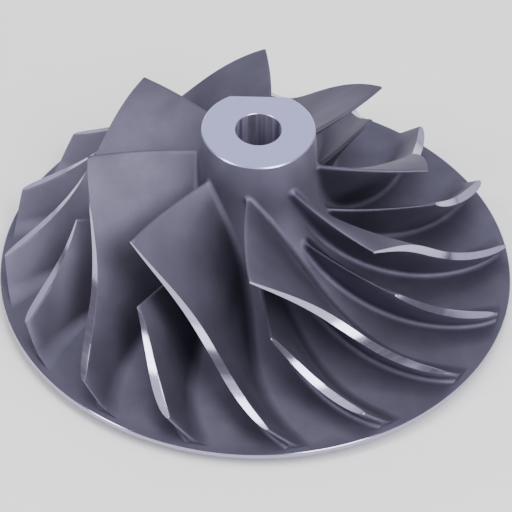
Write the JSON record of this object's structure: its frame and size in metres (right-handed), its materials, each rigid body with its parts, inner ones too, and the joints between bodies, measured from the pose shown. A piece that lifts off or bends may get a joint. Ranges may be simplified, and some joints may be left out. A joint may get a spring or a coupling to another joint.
{
  "type": "turbocharger compressor wheel",
  "caption": "Turbocharger compressor wheel: turned hub with a plain bore, a thin back disc, and backward-curved long and short blades cast in one piece.",
  "frame": {"origin": "on the wheel's axis, at the face of the boss on its back, which is its lowest point", "axes": "+Z along the axis towards the inlet nose; +X and +Y across the disc, with the balancing flat of the nose towards +Y"},
  "size_m": [0.1, 0.1, 0.0415],
  "materials": {
    "cast_aluminium": "satin, fine cast skin on the hub, disc and blades"
  },
  "bodies": {
    "root": {"hub_and_disc": "cast_aluminium", "long_blade_1": "cast_aluminium", "long_blade_2": "cast_aluminium", "long_blade_3": "cast_aluminium", "long_blade_4": "cast_aluminium", "long_blade_5": "cast_aluminium", "long_blade_6": "cast_aluminium", "long_blade_7": "cast_aluminium", "long_blade_8": "cast_aluminium", "short_blade_1": "cast_aluminium", "short_blade_2": "cast_aluminium", "short_blade_3": "cast_aluminium", "short_blade_4": "cast_aluminium", "short_blade_5": "cast_aluminium", "short_blade_6": "cast_aluminium", "short_blade_7": "cast_aluminium", "short_blade_8": "cast_aluminium"}
  },
  "joints": []
}
